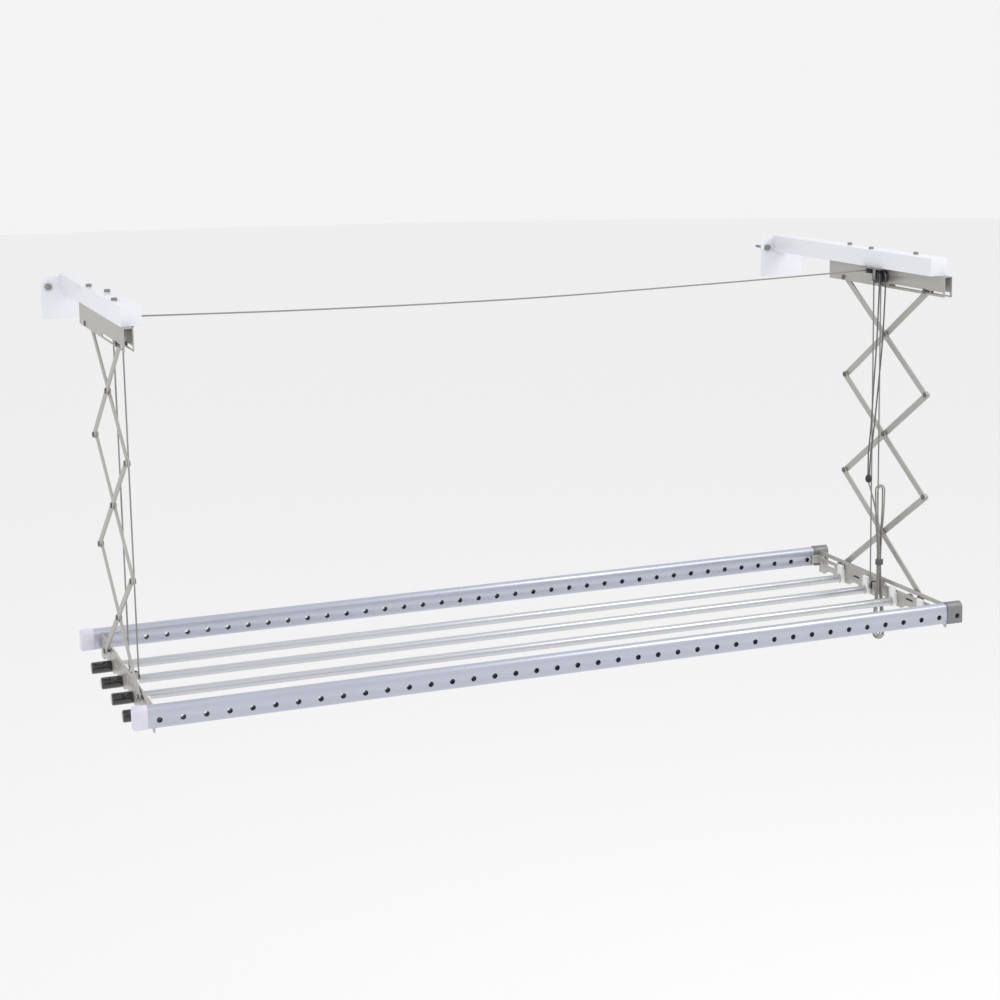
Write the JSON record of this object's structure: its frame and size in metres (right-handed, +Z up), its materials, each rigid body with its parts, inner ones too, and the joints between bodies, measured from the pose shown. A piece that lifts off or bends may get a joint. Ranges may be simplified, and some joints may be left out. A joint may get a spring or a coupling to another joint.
{
  "type": "wall mounted clothes airer",
  "caption": "Wall mounted drying rack with two cantilever arms, scissor linkages, cords and pulleys that lower and raise a flat rack of aluminium bars and rods.",
  "frame": {"origin": "on the wall plane, midway between the two wall plates, at the height of their screws", "axes": "+X along the wall and the bars, +Y into the wall, +Z up"},
  "size_m": [1.66, 0.7426, 0.8025],
  "materials": {
    "white_paint": "smooth white powder coat",
    "link_metal": "satin warm grey",
    "rail_metal": "satin warm grey",
    "anodised": "satin anodised, brushed along its length",
    "rod_metal": "bright satin",
    "fitting_metal": "dark grey cast, satin",
    "zinc": "zinc plated",
    "rivet_steel": "dull steel",
    "pulley_plastic": "moulded black",
    "cap_black": "gloss black",
    "cap_white": "moulded off-white",
    "clip_white": "moulded white",
    "cord": "braided, matte",
    "cord_dark": "braided, matte"
  },
  "bodies": {
    "frame": {"wall_plate_left": "white_paint", "wall_plate_right": "white_paint", "wall_screws": "zinc", "arm_left": "white_paint", "arm_right": "white_paint", "channel_left": "link_metal", "channel_right": "link_metal", "arm_bolts": "zinc", "pulley_bracket_left": "zinc", "pulley_bracket_right": "zinc", "sheave_axles": "zinc", "top_pins": "rivet_steel", "lifting_cord_left": "cord", "lifting_cord_right": "cord", "cross_cord": "cord", "pull_cords": "cord_dark", "pull_bead": "pulley_plastic", "pull_hank": "cord"},
    "sheave_left": {"sheave_left": "pulley_plastic"},
    "sheaves_right": {"sheaves_right": "pulley_plastic"},
    "guide_pulley": {"guide_pulley": "pulley_plastic"},
    "rack": {"bottom_pins": "rivet_steel", "side_rail_left": "rail_metal", "side_rail_right": "rail_metal", "front_bar": "anodised", "back_bar": "anodised", "bar_end_caps": "cap_white", "bar_end_fittings": "fitting_metal", "corner_brackets": "rail_metal", "rod_1": "rod_metal", "rod_2": "rod_metal", "rod_3": "rod_metal", "rod_4": "rod_metal", "rod_caps": "cap_black", "rod_clips": "clip_white", "anchor_blocks": "rail_metal"},
    "anchor_sheave_left": {"anchor_sheave_left": "pulley_plastic"},
    "anchor_sheave_right": {"anchor_sheave_right": "pulley_plastic"},
    "right_q1": {"link_right_q1": "link_metal", "rivets_right_q1": "rivet_steel"},
    "right_q2": {"link_right_q2": "link_metal", "rivets_right_q2": "rivet_steel"},
    "right_q3": {"link_right_q3": "link_metal", "rivets_right_q3": "rivet_steel"},
    "right_p1": {"link_right_p1": "link_metal", "rivets_right_p1": "rivet_steel"},
    "right_p2": {"link_right_p2": "link_metal", "rivets_right_p2": "rivet_steel"},
    "right_p3": {"link_right_p3": "link_metal"},
    "left_q1": {"link_left_q1": "link_metal", "rivets_left_q1": "rivet_steel"},
    "left_q2": {"link_left_q2": "link_metal", "rivets_left_q2": "rivet_steel"},
    "left_q3": {"link_left_q3": "link_metal", "rivets_left_q3": "rivet_steel"},
    "left_p1": {"link_left_p1": "link_metal", "rivets_left_p1": "rivet_steel"},
    "left_p2": {"link_left_p2": "link_metal", "rivets_left_p2": "rivet_steel"},
    "left_p3": {"link_left_p3": "link_metal"}
  },
  "joints": [
    {"name": "lift", "type": "hinge", "parent": "frame", "child": "right_q1", "pos_m": [0.785, -0.274, -0.042], "axis": [-1, 0, 0], "range_deg": [0, 31], "deforming": ["lifting_cord_left", "lifting_cord_right"]},
    {"name": "right_p1_turn", "type": "hinge", "parent": "right_q1", "child": "right_p1", "pos_m": [0.785, -0.4269, -0.14436], "axis": [-1, 0, 0], "range_deg": [-62, 0]},
    {"name": "right_p2_turn", "type": "hinge", "parent": "right_q1", "child": "right_p2", "pos_m": [0.785, -0.5798, -0.24672], "axis": [-1, 0, 0], "range_deg": [-62, 0]},
    {"name": "right_q2_turn", "type": "hinge", "parent": "right_p2", "child": "right_q2", "pos_m": [0.785, -0.4269, -0.34908], "axis": [-1, 0, 0], "range_deg": [0, 62]},
    {"name": "right_q3_turn", "type": "hinge", "parent": "right_p2", "child": "right_q3", "pos_m": [0.785, -0.274, -0.45143], "axis": [-1, 0, 0], "range_deg": [0, 62]},
    {"name": "right_p3_turn", "type": "hinge", "parent": "right_q3", "child": "right_p3", "pos_m": [0.785, -0.4269, -0.55379], "axis": [-1, 0, 0], "range_deg": [-62, 0]},
    {"name": "rack_level", "type": "hinge", "parent": "right_p3", "child": "rack", "pos_m": [0.785, -0.274, -0.65615], "axis": [-1, 0, 0], "range_deg": [0, 31]},
    {"name": "left_q1_turn", "type": "hinge", "parent": "frame", "child": "left_q1", "pos_m": [-0.785, -0.274, -0.042], "axis": [-1, 0, 0], "range_deg": [0, 31]},
    {"name": "left_p1_turn", "type": "hinge", "parent": "left_q1", "child": "left_p1", "pos_m": [-0.785, -0.4269, -0.14436], "axis": [-1, 0, 0], "range_deg": [-62, 0]},
    {"name": "left_p2_turn", "type": "hinge", "parent": "left_q1", "child": "left_p2", "pos_m": [-0.785, -0.5798, -0.24672], "axis": [-1, 0, 0], "range_deg": [-62, 0]},
    {"name": "left_q2_turn", "type": "hinge", "parent": "left_p2", "child": "left_q2", "pos_m": [-0.785, -0.4269, -0.34908], "axis": [-1, 0, 0], "range_deg": [0, 62]},
    {"name": "left_q3_turn", "type": "hinge", "parent": "left_p2", "child": "left_q3", "pos_m": [-0.785, -0.274, -0.45143], "axis": [-1, 0, 0], "range_deg": [0, 62]},
    {"name": "left_p3_turn", "type": "hinge", "parent": "left_q3", "child": "left_p3", "pos_m": [-0.785, -0.4269, -0.55379], "axis": [-1, 0, 0], "range_deg": [-62, 0]},
    {"name": "sheave_left_spin", "type": "hinge", "parent": "frame", "child": "sheave_left", "pos_m": [-0.7442, -0.43, -0.026], "axis": [0, 1, 0], "continuous": true},
    {"name": "sheaves_right_spin", "type": "hinge", "parent": "frame", "child": "sheaves_right", "pos_m": [0.762, -0.4408, -0.026], "axis": [1, 0, 0], "continuous": true},
    {"name": "guide_pulley_spin", "type": "hinge", "parent": "frame", "child": "guide_pulley", "pos_m": [0.7582, -0.415, -0.0152], "axis": [0, 0, 1], "continuous": true},
    {"name": "anchor_sheave_left_spin", "type": "hinge", "parent": "rack", "child": "anchor_sheave_left", "pos_m": [-0.763, -0.43, -0.664], "axis": [0, 1, 0], "continuous": true},
    {"name": "anchor_sheave_right_spin", "type": "hinge", "parent": "rack", "child": "anchor_sheave_right", "pos_m": [0.763, -0.43, -0.664], "axis": [0, 1, 0], "continuous": true}
  ],
  "couplings": [
    {"joint": "right_p1_turn", "follows": "lift", "ratio": -2},
    {"joint": "right_p2_turn", "follows": "lift", "ratio": -2},
    {"joint": "right_q2_turn", "follows": "lift", "ratio": 2},
    {"joint": "right_q3_turn", "follows": "lift", "ratio": 2},
    {"joint": "right_p3_turn", "follows": "lift", "ratio": -2},
    {"joint": "rack_level", "follows": "lift", "ratio": 1},
    {"joint": "left_q1_turn", "follows": "lift", "ratio": 1},
    {"joint": "left_p1_turn", "follows": "lift", "ratio": -2},
    {"joint": "left_p2_turn", "follows": "lift", "ratio": -2},
    {"joint": "left_q2_turn", "follows": "lift", "ratio": 2},
    {"joint": "left_q3_turn", "follows": "lift", "ratio": 2},
    {"joint": "left_p3_turn", "follows": "lift", "ratio": -2}
  ]
}
